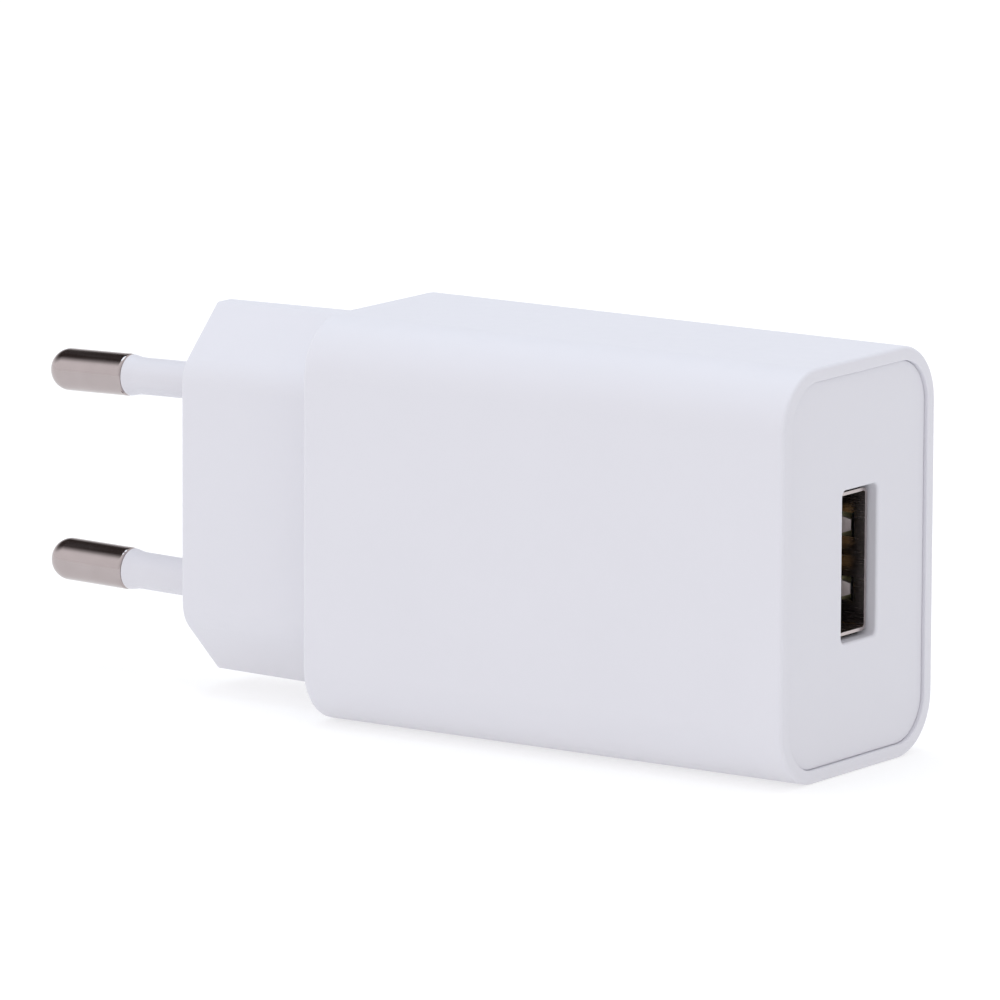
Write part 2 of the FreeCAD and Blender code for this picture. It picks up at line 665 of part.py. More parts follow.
def fusible_resistor():
    """Axial body lying along Z over the board, with its leads bent down through it."""
    length, radius = 8.6, 1.5
    leads = LEADS["fusible_resistor"]
    x, z = centre_of(leads)
    y = BOARD_FACE - 0.5 - radius
    body = rod(V(x, y, z - length / 2), Z_AXIS, length, radius)
    body = body.makeFillet(0.5, rims(body))
    wire = rod(V(x, y, leads[0][1]), Z_AXIS, leads[1][1] - leads[0][1], LEAD_RADIUS)
    elbows = [Part.makeSphere(LEAD_RADIUS, V(x, y, place[1])) for place in leads]
    return fuse(body, wire, *elbows, *[lead(place, BOARD_FACE - y) for place in leads])


def filter_choke_core():
    """Drum core with two flanges, standing on two leads."""
    x, z = centre_of(LEADS["filter_choke"])
    base = BOARD_FACE - 0.2
    drum = fuse(
        rod(V(x, base - CHOKE_FLANGE, z), Y_AXIS, CHOKE_FLANGE, 3.2),
        rod(V(x, base - CHOKE_HEIGHT, z), Y_AXIS, CHOKE_FLANGE, 3.2),
        rod(V(x, base - CHOKE_HEIGHT, z), Y_AXIS, CHOKE_HEIGHT, CHOKE_CORE_RADIUS),
    )
    return fuse(drum, *[lead(place, 0.3) for place in LEADS["filter_choke"]])


def filter_choke_winding():
    x, z = centre_of(LEADS["filter_choke"])
    start = V(x, BOARD_FACE - 0.2 - CHOKE_HEIGHT + CHOKE_FLANGE, z)
    length = CHOKE_HEIGHT - 2 * CHOKE_FLANGE
    return rod(start, Y_AXIS, length, 2.9).cut(rod(start, Y_AXIS, length, CHOKE_CORE_RADIUS))


def bridge_rectifier():
    """Four-legged moulded bridge at the plug end of the board."""
    x, z = centre_of(LEADS["bridge_rectifier"])
    body = box((x - 3.2, x + 3.2), (BOARD_FACE - 3.5, BOARD_FACE - 0.4), (z - 4.2, z + 4.2))
    upright = [e for e in body.Edges if abs(e.Vertexes[0].Y - e.Vertexes[1].Y) > 1]
    body = body.makeFillet(0.4, upright)
    return fuse(body, *[lead(place, 0.8) for place in LEADS["bridge_rectifier"]])


def transformer_core(half):
    """One E half: a yoke, two outer legs and half of the centre leg."""
    middle = sum(CORE_X) / 2
    whole = box(CORE_X, (CORE_Y - CORE_HALF_Y, CORE_Y + CORE_HALF_Y), (-CORE_HALF_Z, CORE_HALF_Z))
    window_x = (CORE_X[0] + CORE_YOKE, CORE_X[1] - CORE_YOKE)
    windows = []
    for sign in (-1, 1):
        z = sorted((sign * CORE_LEG, sign * (CORE_HALF_Z - CORE_LEG)))
        windows.append(box(window_x, (CORE_Y - 5, CORE_Y + 5), z))
    span = (CORE_X[0] - 1, middle) if half == "plug_side" else (middle, CORE_X[1] + 1)
    keep = box(span, (CORE_Y - 6, CORE_Y + 6), (-CORE_HALF_Z - 1, CORE_HALF_Z + 1))
    return cut(whole, *windows).common(keep)


def transformer_pins():
    return group(*[lead(place, 0.8) for place in LEADS["transformer"]])


def transformer_bobbin():
    """Tube on the centre leg, end flanges in the windows, and pin rails on the board."""
    start, end = bobbin_span(0)
    leg_z = CORE_LEG + CORE_GAP
    leg_y = CORE_HALF_Y + CORE_GAP
    tube_y = (CORE_Y - leg_y - TUBE_WALL, CORE_Y + leg_y + TUBE_WALL)
    tube = box((start, end), tube_y, (-leg_z - TUBE_WALL, leg_z + TUBE_WALL))
    flange_z = CORE_HALF_Z - CORE_LEG - CORE_GAP
    flanges = []
    for x in ((start, start + FLANGE), (end - FLANGE, end)):
        flanges.append(box(x, (CORE_Y - 6.2, CORE_Y + 5.4), (-flange_z, flange_z)))
    rails = []
    for x in ((CORE_X[0], start + FLANGE), (end - FLANGE, CORE_X[1])):
        rails.append(box(x, (CORE_Y + leg_y, BOARD_FACE - 0.1), (-CORE_HALF_Z, CORE_HALF_Z)))
    leg_space = box((start - 1, end + 1), (CORE_Y - leg_y, CORE_Y + leg_y), (-leg_z, leg_z))
    return cut(fuse(tube, *flanges, *rails), leg_space, transformer_pins())


def bobbin_span(inset):
    """The bobbin's span along X between the core yokes, shortened by inset at each end."""
    clear = CORE_YOKE + CORE_GAP + inset
    return CORE_X[0] + clear, CORE_X[1] - clear


def transformer_winding():
    """Copper wound on the tube, between the bobbin's flanges."""
    start, end = bobbin_span(FLANGE)
    outer = rounded_block((start, end), WINDING_HALF_Y, WINDING_HALF_Z, WINDING_RADIUS, CORE_Y)
    inner_y = CORE_HALF_Y + CORE_GAP + TUBE_WALL
    inner_z = CORE_LEG + CORE_GAP + TUBE_WALL
    inner = box((start, end), (CORE_Y - inner_y, CORE_Y + inner_y), (-inner_z, inner_z))
    return outer.cut(inner)


def transformer_winding_tape():
    """One layer of tape round the outside of the winding."""
    span = bobbin_span(FLANGE)
    half_y = WINDING_HALF_Y + TAPE
    half_z = WINDING_HALF_Z + TAPE
    outer = rounded_block(span, half_y, half_z, WINDING_RADIUS + TAPE, CORE_Y)
    return outer.cut(rounded_block(span, WINDING_HALF_Y, WINDING_HALF_Z, WINDING_RADIUS, CORE_Y))


def transformer_core_band():
    """Tape wound once round the outside of both core halves."""
    y = (CORE_Y - 2.0, CORE_Y + 2.0)
    outer = box((CORE_X[0] - TAPE, CORE_X[1] + TAPE), y, (-CORE_HALF_Z - TAPE, CORE_HALF_Z + TAPE))
    return outer.cut(box(CORE_X, (y[0] - 1, y[1] + 1), (-CORE_HALF_Z, CORE_HALF_Z)))


def small_outline_chip(place):
    """An eight-legged moulded package on the solder side of the board."""
    x, z = place
    half_width, half_length = 1.95, 2.45
    top = BOARD_BACK + 1.6
    span = (x - half_width, x + half_width)
    body = box(span, (BOARD_BACK + 0.15, top), (z - half_length, z + half_length))
    top_edges = [e for e in body.Edges if all(v.Y > top - 0.01 for v in e.Vertexes)]
    legs = []
    for row in range(4):
        leg_z = z + (row - 1.5) * 1.27
        across = (leg_z - 0.2, leg_z + 0.2)
        for sign in (-1, 1):
            root = x + sign * (half_width - 0.1)
            foot = sorted((root, root + sign * 1.05))
            shin = sorted((root, root + sign * 0.35))
            legs.append(box(foot, (BOARD_BACK, BOARD_BACK + 0.25), across))
            legs.append(box(shin, (BOARD_BACK, BOARD_BACK + 0.8), across))
    return fuse(body.makeChamfer(0.25, top_edges), *legs)


def chip_parts(places, width, length, height):
    """Surface-mounted blocks on the solder side, lying along Z."""
    blocks = []
    for x, z in places:
        span = (x - width / 2, x + width / 2)
        blocks.append(box(span, (BOARD_BACK, BOARD_BACK + height), (z - length / 2, z + length / 2)))
    return group(*blocks)


def pegs():
    """Every round or near-round peg through the board, as (x, z, radius, clearance hole)."""
    found = [(x, z, LEAD_RADIUS, LEAD_HOLE_RADIUS) for places in LEADS.values() for x, z in places]
    tab_hole = MAINS_TAB_RADIUS + 0.1
    for sign in SIDES.values():
        found += [(x, sign * MAINS_TAB_Z, MAINS_TAB_RADIUS, tab_hole) for x in MAINS_TAB_X]
    found += [(TAIL_X, z, TAIL_PIN_WIDTH / 2, 0.45) for z in CONTACT_Z.values()]
    return found


def shell_leg_spans():
    """The (x, z) spans of the shell's four legs where they cross the board."""
    spans = []
    for sign in SIDES.values():
        z = sorted((sign * SHELL_HALF_H, sign * (SHELL_HALF_H - SHELL_METAL)))
        spans += [((x, x + SHELL_LEG_WIDTH), z) for x in SHELL_LEG_X]
    return spans


def grown(span, by):
    return span[0] - by, span[1] + by


def main_board():
    """Glass-epoxy board with its nose under the receptacle, drilled for every lead."""
    y = (BOARD_FACE, BOARD_BACK)
    wide = box((BOARD_START, BOARD_END), y, (-BOARD_HALF_WIDTH, BOARD_HALF_WIDTH))
    nose = box((BOARD_END - 1, BOARD_NOSE_END), y, (-BOARD_NOSE_HALF_WIDTH, BOARD_NOSE_HALF_WIDTH))
    through = grown(y, 1)
    holes = [rod(V(x, through[0], z), Y_AXIS, 4, hole) for x, z, _, hole in pegs()]
    slots = [box(grown(x, 0.15), through, grown(z, 0.15)) for x, z in shell_leg_spans()]
    isolation_slot = box((45.0, 53.0), through, (-14.0, -12.8))
    return cut(fuse(wide, nose), isolation_slot, *holes, *slots)


def solder_joints():
    """A fillet of solder round each peg and shell leg on the solder side."""
    pins = fuse(*[contact_tail_shape(number, 0) for number in CONTACT_Z])
    joints = []
    for x, z, radius, hole in pegs():
        start = V(x, BOARD_BACK, z)
        cone = Part.makeCone(hole + 0.45, radius + 0.08, 0.6, start, Y_AXIS)
        if x == TAIL_X:
            joints.append(cone.cut(pins))
        else:
            joints.append(cone.cut(rod(start, Y_AXIS, 2, radius)))
    for x, z in shell_leg_spans():
        pad = box(grown(x, 0.4), (BOARD_BACK, BOARD_BACK + 0.6), grown(z, 0.45))
        top_edges = [e for e in pad.Edges if all(v.Y > BOARD_BACK + 0.5 for v in e.Vertexes)]
        pad = pad.makeChamfer(0.3, top_edges)
        joints.append(pad.cut(box(x, (BOARD_BACK, BOARD_BACK + 2), z)))
    return group(*joints)


def insulation_sheet():
    """Thin film between the solder side and the housing, with both edges folded up."""
    y_out = CAVITY_HALF_T
    film = 0.3
    x = (24.0, 61.0)
    base = box(x, (y_out - film, y_out), (-12.5, 12.5))
    edges = [box(x, (y_out - 2.6, y_out), sorted((s * 12.5, s * 12.2))) for s in (-1, 1)]
    return fuse(base, *edges)


# ---- build --------------------------------------------------------------------------


def build():
    nodes = {
        "housing": housing(),
        "front_cap": front_cap(),
        "pin_holder": pin_holder(),
        "usb_shell": usb_shell(),
        "usb_insulator": usb_insulator(),
        "usb_contact_tails": contact_tails(),
        "usb_grip_fingers_near": grip_fingers(-1),
        "usb_grip_fingers_far": grip_fingers(1),
        "main_board": main_board(),
        "solder_joints": solder_joints(),
        "insulation_sheet": insulation_sheet(),
        "fusible_resistor": fusible_resistor(),
        "varistor": disc_part("varistor", 3.4, 3.0),
        "bridge_rectifier": bridge_rectifier(),
        "filter_choke_core": filter_choke_core(),
        "filter_choke_winding": filter_choke_winding(),
        "safety_capacitor": disc_part("safety_capacitor", 3.6, 3.2),
        "transformer_core_plug_side": transformer_core("plug_side"),
        "transformer_core_usb_side": transformer_core("usb_side"),
        "transformer_bobbin": transformer_bobbin(),
        "transformer_pins": transformer_pins(),
        "transformer_winding": transformer_winding(),
        "transformer_winding_tape": transformer_winding_tape(),
        "transformer_core_band": transformer_core_band(),
        "controller_chip": small_outline_chip(CONTROLLER_CHIP),
        "output_rectifier_chip": small_outline_chip(OUTPUT_RECTIFIER_CHIP),
        "chip_resistors": chip_parts(CHIP_RESISTORS, 1.25, 2.0, 0.5),
        "chip_capacitors": chip_parts(CHIP_CAPACITORS, 1.6, 3.2, 1.2),
    }
    for name, side in SIDES.items():
        nodes[f"pin_{name}"] = pin(side)
        nodes[f"pin_sleeve_{name}"] = pin_sleeve(side)
        nodes[f"mains_contact_{name}"] = mains_contact(side)
        nodes[f"bulk_capacitor_{name}"] = capacitor(f"bulk_capacitor_{name}", 4.0, 12.0)
        nodes[f"output_capacitor_{name}"] = capacitor(f"output_capacitor_{name}", 3.15, 11.0)
    for number in CONTACT_Z:
        nodes[f"usb_contact_{number}"] = contact_beam(number)
    return nodes


os.makedirs("parts", exist_ok=True)
for node, shape in build().items():
    shape.exportStep(f"parts/{node}.step")
    state = "ok" if shape.isValid() else "INVALID"
    print(f"{node}: {len(shape.Solids)} solid(s), {shape.Volume:.2f} mm3, {state}")
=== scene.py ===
"""A white USB wall charger with a two-pin Europlug: its pieces, finishes, light and camera."""

import json
import math

import bmesh
import bpy
from mathutils import Matrix, Vector


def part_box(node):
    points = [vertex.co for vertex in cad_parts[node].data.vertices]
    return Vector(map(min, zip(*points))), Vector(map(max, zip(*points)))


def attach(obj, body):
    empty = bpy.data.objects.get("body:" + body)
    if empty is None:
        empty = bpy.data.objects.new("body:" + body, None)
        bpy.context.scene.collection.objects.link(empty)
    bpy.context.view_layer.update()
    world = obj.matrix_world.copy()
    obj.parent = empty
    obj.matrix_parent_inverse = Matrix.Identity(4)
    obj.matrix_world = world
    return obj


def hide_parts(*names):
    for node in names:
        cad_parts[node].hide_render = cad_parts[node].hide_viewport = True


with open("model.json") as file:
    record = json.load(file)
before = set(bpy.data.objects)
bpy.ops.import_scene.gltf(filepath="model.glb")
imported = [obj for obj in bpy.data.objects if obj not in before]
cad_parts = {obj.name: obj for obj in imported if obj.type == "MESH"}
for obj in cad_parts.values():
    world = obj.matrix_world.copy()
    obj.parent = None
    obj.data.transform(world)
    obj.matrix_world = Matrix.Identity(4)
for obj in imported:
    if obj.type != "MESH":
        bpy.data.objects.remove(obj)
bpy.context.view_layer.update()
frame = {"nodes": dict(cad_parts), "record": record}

MM = 0.001

# ---- places and sizes from the frame, in metres --------------------------------------

HOUSING_LOW, HOUSING_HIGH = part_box("housing")
CAP_LOW, CAP_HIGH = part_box("front_cap")
SHELL_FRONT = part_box("usb_shell")[1].x
BOARD_LOW, BOARD_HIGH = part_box("main_board")
MOUNTS = {mount["name"]: mount for mount in frame["record"]["mounts"]}

BLOCK_HALF_T = HOUSING_HIGH.y
BLOCK_HALF_H = HOUSING_HIGH.z
BLOCK_END = HOUSING_HIGH.x
CAP_FACE = CAP_HIGH.x

# The driving dimensions of the frame's housing, cap and pins. What differs here: the neck, the
# collar's taper, the flare and the pins' shoulders are rounder, and the gap round the panel, from
# REBATE_INSET to CAP_INSET, is narrower, as a wide one renders too dark.
PLUG_LENGTH = 18.2 * MM
PLUG_HALF_T = 6.9 * MM
PLUG_HALF_H = 17.7 * MM
PLUG_DRAFT = 0.3 * MM
PLUG_CHAMFER = 5.8 * MM
PLUG_SIDE_RADIUS = 4.0 * MM
PLUG_END_RADIUS = 0.6 * MM
PLUG_LEAST_END_RADIUS = 0.12 * MM
PLUG_WALL = 1.8 * MM
ENGAGEMENT_WALL = 3.2 * MM
FACE_EDGE_RADIUS = 0.35 * MM
NECK_RADIUS = 0.25 * MM
BLOCK_RADIUS = 5.5 * MM
WALL = 2.0 * MM
SHOULDER_EDGE_RADIUS = 0.35 * MM
RIM_EDGE_RADIUS = 0.4 * MM
RIM_INNER_RADIUS = 0.12 * MM
CAP_BACK = BLOCK_END - 2.2 * MM
REBATE_INSET = 1.28 * MM
CAP_INSET = 1.3 * MM
CAP_EDGE_RADIUS = 0.15 * MM
SKIRT_INSET = WALL + 0.1 * MM
SKIRT_WALL = 1.2 * MM
OPENING_Y = 0.7 * MM
OPENING_HALF_T = 2.9 * MM
OPENING_HALF_H = 6.95 * MM
OPENING_RADIUS = 0.6 * MM
OPENING_EDGE_RADIUS = 0.3 * MM
POCKET_SIDE = 0.3 * MM
POCKET_FRONT = SHELL_FRONT + 0.1 * MM
PIN_RADIUS = MOUNTS["pin_upper"]["dims"]["r_mm"] * MM
PIN_LENGTH = 19.5 * MM
PIN_TIP_RADIUS = 1.9 * MM
PIN_SHOULDER_RADIUS = 0.35 * MM
PIN_CORE_RADIUS = 1.5 * MM
PIN_TAIL = 11.0 * MM
PIN_TAIL_CHAMFER = 0.3 * MM
PIN_FLANGE_RADIUS = 2.6 * MM
PIN_FLANGE_END = ENGAGEMENT_WALL + 1.2 * MM
SLEEVE_LENGTH = 10.5 * MM
SLEEVE_RADIUS = 1.75 * MM
SLEEVE_FLARE_RADIUS = 1.84 * MM
SLEEVE_FLARE_LENGTH = 0.35 * MM
SLEEVE_HOLE_RADIUS = 1.85 * MM
SLEEVE_FLANGE_RADIUS = 2.9 * MM
SLEEVE_FLANGE_START = ENGAGEMENT_WALL - 1.5 * MM
COLLAR_RADIUS = 1.95 * MM
COLLAR_EDGE_RADIUS = 0.12 * MM
# The collar runs down to the sleeve's tube through these (distance from its end, radius) points.
COLLAR_TAPER = (
    (0.55 * MM, 1.87 * MM),
    (1.0 * MM, SLEEVE_RADIUS + 0.03 * MM),
    (1.5 * MM, SLEEVE_RADIUS),
)
# A cutter reaches this far past both sides of the wall that it cuts.
CUTTER_REACH = 2 * MM

# Points on each eighth of an outline, and steps round each small edge rounding.
ARC_POINTS = 12
EDGE_STEPS = 6
PIN_TIP_POINTS = 16
PIN_SHOULDER_POINTS = 7
COLLAR_EDGE_POINTS = 5
LATHE_SEGMENTS = 96
MERGE_DISTANCE = 1e-7
SHARP_ANGLE = math.radians(32)
SHADING_WEIGHT = 80


# ---- mesh helpers ---------------------------------------------------------------------


def arc(centre, radius, start, sweep, count):
    """Points along an arc, in degrees, round a (first, second) centre."""
    angles = [math.radians(start + sweep * i / (count - 1)) for i in range(count)]
    return [(centre[0] + radius * math.cos(a), centre[1] + radius * math.sin(a)) for a in angles]


def mirrored(quarter):
    """A closed (y, z) outline from its +Y +Z quarter."""
    over = [(-y, z) for y, z in reversed(quarter)]
    below = [(-y, -z) for y, z in quarter]
    back = [(y, -z) for y, z in reversed(quarter)]
    return quarter + over + below + back


def rounded_outline(half_t, half_h, radius):
    """A rounded rectangle round the origin."""
    centre = (half_t - radius, half_h - radius)
    return mirrored(arc(centre, radius, 0, 90, 2 * ARC_POINTS))


def block_outline(inset):
    """The block's section, moved inwards by an inset."""
    return rounded_outline(BLOCK_HALF_T - inset, BLOCK_HALF_H - inset, BLOCK_RADIUS - inset)


def opening_outline(inset):
    """The panel's USB opening at its face."""
    half_t, half_h = OPENING_HALF_T - inset, OPENING_HALF_H - inset
    return [(y + OPENING_Y, z) for y, z in rounded_outline(half_t, half_h, OPENING_RADIUS - inset)]


def pocket_outline():
    """The opening behind the lip, wider on its -Y side for the edge of the USB shell."""
    half_t = OPENING_HALF_T + POCKET_SIDE / 2
    outline = rounded_outline(half_t, OPENING_HALF_H, OPENING_RADIUS)
    return [(y + OPENING_Y - POCKET_SIDE / 2, z) for y, z in outline]


def plug_outline(inset):
    """The plug section's octagon, moved inwards by an inset, with its corners kept round."""
    half_t = PLUG_HALF_T - inset
    half_h = PLUG_HALF_H - inset
    chamfer = PLUG_CHAMFER - inset * (2 - math.sqrt(2))
    setback = math.tan(math.radians(22.5))
    side_radius = PLUG_SIDE_RADIUS - inset
    side_centre = (half_t - side_radius, half_h - chamfer - side_radius * setback)
    end_radius = max(PLUG_END_RADIUS - inset, PLUG_LEAST_END_RADIUS)
    end_centre = (half_t - chamfer - end_radius * setback, half_h - end_radius)
    side = arc(side_centre, side_radius, 0, 45, ARC_POINTS)
    end = arc(end_centre, end_radius, 45, 45, ARC_POINTS)
    return mirrored(side + end)


def ring(outline, x):
    """A (y, z) outline stood up at one x."""
    return [Vector((x, y, z)) for y, z in outline]


def rounding(outline, edge_x, radius, first, last):
    """Rings round an edge at edge_x. first and last are (x side, inset side) of its two ends."""
    rings = []
    for i in range(EDGE_STEPS + 1):
        turn = math.pi / 2 * i / EDGE_STEPS
        along = first[0] * (1 - math.sin(turn)) + last[0] * (1 - math.cos(turn))
        across = first[1] * (1 - math.sin(turn)) + last[1] * (1 - math.cos(turn))
        rings.append(ring(outline(across * radius), edge_x + along * radius))
    return rings


def finished(name, mesh, body):
    """An object from a bmesh, smooth but for its sharp edges, that rides on a body."""
    bmesh.ops.remove_doubles(mesh, verts=mesh.verts, dist=MERGE_DISTANCE)
    bmesh.ops.recalc_face_normals(mesh, faces=mesh.faces)
    data = bpy.data.meshes.new(name)
    mesh.to_mesh(data)
    mesh.free()
    piece = bpy.data.objects.new(name, data)
    bpy.context.scene.collection.objects.link(piece)
    smooth(piece)
    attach(piece, body)
    return piece


def smooth(piece):
    """Smooth shading that keeps flat faces flat and sharp edges sharp."""
    piece.data.polygons.foreach_set("use_smooth", [True] * len(piece.data.polygons))
    piece.data.set_sharp_from_angle(angle=SHARP_ANGLE)
    weighted = piece.modifiers.new("even_shading", "WEIGHTED_NORMAL")
    weighted.keep_sharp = True
    weighted.weight = SHADING_WEIGHT


def loft(rings, closed=False):
    """A skin over rings of equal length: capped at its two ends, or closed into a loop."""
    mesh = bmesh.new()
    loops = [[mesh.verts.new(point) for point in points] for points in rings]
    following = loops[1:] + [loops[0]] if closed else loops[1:]
    for near, far in zip(loops, following):
        for i, vertex in enumerate(near):
            after = (i + 1) % len(near)
            mesh.faces.new((vertex, near[after], far[after], far[i]))
    if not closed:
        mesh.faces.new(loops[0])
        mesh.faces.new(reversed(loops[-1]))
    return mesh


def lathe(profile, place, closed=False):
    """A body turned round the X axis from an (x, radius) profile, then moved to its place."""
    rings = []
    for x, radius in profile:
        turn = [2 * math.pi * i / LATHE_SEGMENTS for i in range(LATHE_SEGMENTS)]
        points = [Vector((x, radius * math.cos(a), radius * math.sin(a))) for a in turn]
        rings.append([place @ point for point in points])
    return loft(rings, closed)


def pin_place(side):
    """The matrix that puts the X axis on the leaning axis of a pin, with x = 0 at the face."""
    mount = MOUNTS[f"pin_{side}"]
    inward = -Vector(mount["axis"]).normalized()
    middle = Vector(mount["pos_m"])
    at_face = middle - inward * (middle.x / inward.x)
    turn = Vector((1, 0, 0)).rotation_difference(inward).to_matrix().to_4x4()
    return Matrix.Translation(at_face) @ turn


def bore(piece, cutters):
    """Cuts the closed cutters out of a piece and removes them."""
    for cutter in cutters:
        cut = piece.modifiers.new("cut", "BOOLEAN")
        cut.operation = "DIFFERENCE"
        cut.solver = "EXACT"
        cut.object = cutter
    for modifier in list(piece.modifiers):
        if modifier.type != "BOOLEAN":
            piece.modifiers.remove(modifier)
    graph = bpy.context.evaluated_depsgraph_get()
    piece.data = bpy.data.meshes.new_from_object(piece.evaluated_get(graph))
    piece.modifiers.clear()
    for cutter in cutters:
        bpy.data.objects.remove(cutter)
    smooth(piece)


# ---- pieces that stand for CAD nodes ---------------------------------------------------


def make_housing():
    """Plug section, shoulder and block as one skin: outside, over the rim, and inside."""

    def face_outline(inset):
        return plug_outline(PLUG_DRAFT + inset)

    rings = rounding(face_outline, 0, FACE_EDGE_RADIUS, (0, 1), (1, 0))
    rings += rounding(plug_outline, PLUG_LENGTH, NECK_RADIUS, (-1, 0), (0, -1))
    rings += rounding(block_outline, PLUG_LENGTH, SHOULDER_EDGE_RADIUS, (0, 1), (1, 0))
    rings += rounding(block_outline, BLOCK_END, RIM_EDGE_RADIUS, (-1, 0), (0, 1))

    def rim_outline(inset):
        return block_outline(REBATE_INSET - inset)

    rings += rounding(rim_outline, BLOCK_END, RIM_INNER_RADIUS, (0, 1), (-1, 0))
    rings.append(ring(block_outline(REBATE_INSET), CAP_BACK))
    rings.append(ring(block_outline(WALL), CAP_BACK))
    rings.append(ring(block_outline(WALL), PLUG_LENGTH + WALL))
    rings.append(ring(plug_outline(PLUG_WALL), PLUG_LENGTH + WALL))
    rings.append(ring(plug_outline(PLUG_WALL), ENGAGEMENT_WALL))
    piece = finished("housing_skin", loft(rings), "charger")
    cutters = []
    for side in ("upper", "lower"):
        ends = (-CUTTER_REACH, ENGAGEMENT_WALL + CUTTER_REACH)
        rod = lathe([(x, SLEEVE_HOLE_RADIUS) for x in ends], pin_place(side))
        cutters.append(finished(f"cutter_{side}", rod, "charger"))
    bore(piece, cutters)
    return piece


def make_front_cap():
    """The inset panel: its opening wall, face, edge and the skirt behind, as one closed loop."""

    def opening(inset):
        return opening_outline(-inset)

    def plate(inset):
        return block_outline(CAP_INSET + inset)

    rings = [ring(pocket_outline(), CAP_BACK), ring(pocket_outline(), POCKET_FRONT)]
    rings.append(ring(opening_outline(0), POCKET_FRONT))
    rings += rounding(opening, CAP_FACE, OPENING_EDGE_RADIUS, (-1, 0), (0, 1))
    rings += rounding(plate, CAP_FACE, CAP_EDGE_RADIUS, (0, 1), (-1, 0))
    rings.append(ring(block_outline(CAP_INSET), CAP_BACK))
    rings.append(ring(block_outline(SKIRT_INSET), CAP_BACK))
    rings.append(ring(block_outline(SKIRT_INSET), CAP_LOW.x))
    rings.append(ring(block_outline(SKIRT_INSET + SKIRT_WALL), CAP_LOW.x))
    rings.append(ring(block_outline(SKIRT_INSET + SKIRT_WALL), CAP_BACK))
    return finished("front_cap_panel", loft(rings, closed=True), "charger")


def make_pin(side):
    """Turned pin: round tip, rounded shoulder, core, flange and tail."""
    tip_centre = (-PIN_LENGTH + PIN_TIP_RADIUS, PIN_RADIUS - PIN_TIP_RADIUS)
    shoulder_centre = (-SLEEVE_LENGTH - PIN_SHOULDER_RADIUS, PIN_RADIUS - PIN_SHOULDER_RADIUS)
    profile = [(-PIN_LENGTH, 0.0)]
    profile += arc(tip_centre, PIN_TIP_RADIUS, 180, -90, PIN_TIP_POINTS)
    profile += arc(shoulder_centre, PIN_SHOULDER_RADIUS, 90, -90, PIN_SHOULDER_POINTS)
    profile += [
        (-SLEEVE_LENGTH, PIN_CORE_RADIUS),
        (ENGAGEMENT_WALL, PIN_CORE_RADIUS),
        (ENGAGEMENT_WALL, PIN_FLANGE_RADIUS),
        (PIN_FLANGE_END, PIN_FLANGE_RADIUS),
        (PIN_FLANGE_END, PIN_CORE_RADIUS),
        (PIN_TAIL - PIN_TAIL_CHAMFER, PIN_CORE_RADIUS),
        (PIN_TAIL, PIN_CORE_RADIUS - PIN_TAIL_CHAMFER),
        (PIN_TAIL, 0.0),
    ]
    return finished(f"pin_{side}_turned", lathe(profile, pin_place(side)), "charger")


def make_sleeve(side):
    """Sleeve with a collar against the bare metal, a long thin tube and a flange."""
    edge_centre = (-SLEEVE_LENGTH + COLLAR_EDGE_RADIUS, COLLAR_RADIUS - COLLAR_EDGE_RADIUS)
    profile = [(-SLEEVE_LENGTH, PIN_CORE_RADIUS)]
    profile += arc(edge_centre, COLLAR_EDGE_RADIUS, 180, -90, COLLAR_EDGE_POINTS)
    profile += [(-SLEEVE_LENGTH + along, radius) for along, radius in COLLAR_TAPER]
    profile += [
        (-SLEEVE_FLARE_LENGTH, SLEEVE_RADIUS),
        (0.0, SLEEVE_FLARE_RADIUS),
        (SLEEVE_FLANGE_START, SLEEVE_FLARE_RADIUS),
        (SLEEVE_FLANGE_START, SLEEVE_FLANGE_RADIUS),
        (ENGAGEMENT_WALL, SLEEVE_FLANGE_RADIUS),
        (ENGAGEMENT_WALL, PIN_CORE_RADIUS),
    ]
    turned = lathe(profile, pin_place(side), closed=True)
    return finished(f"pin_sleeve_{side}_moulded", turned, "charger")


# ---- finishes --------------------------------------------------------------------------

# A colour mix node has one pair of inputs for each data type; these are its colours' sockets.
MIX_FIRST = 6
MIX_SECOND = 7
MIX_RESULT = 2
# How far apart a wave texture's ridges are at a scale of 1.
WAVE_PERIOD = 0.314
# Object coordinates scaled like this draw a texture out along X, as grain and draw lines are.
ALONG_X = (0.05, 1.0, 1.0)
RUBBED_ALONG_X = (0.06, 1.0, 1.0)


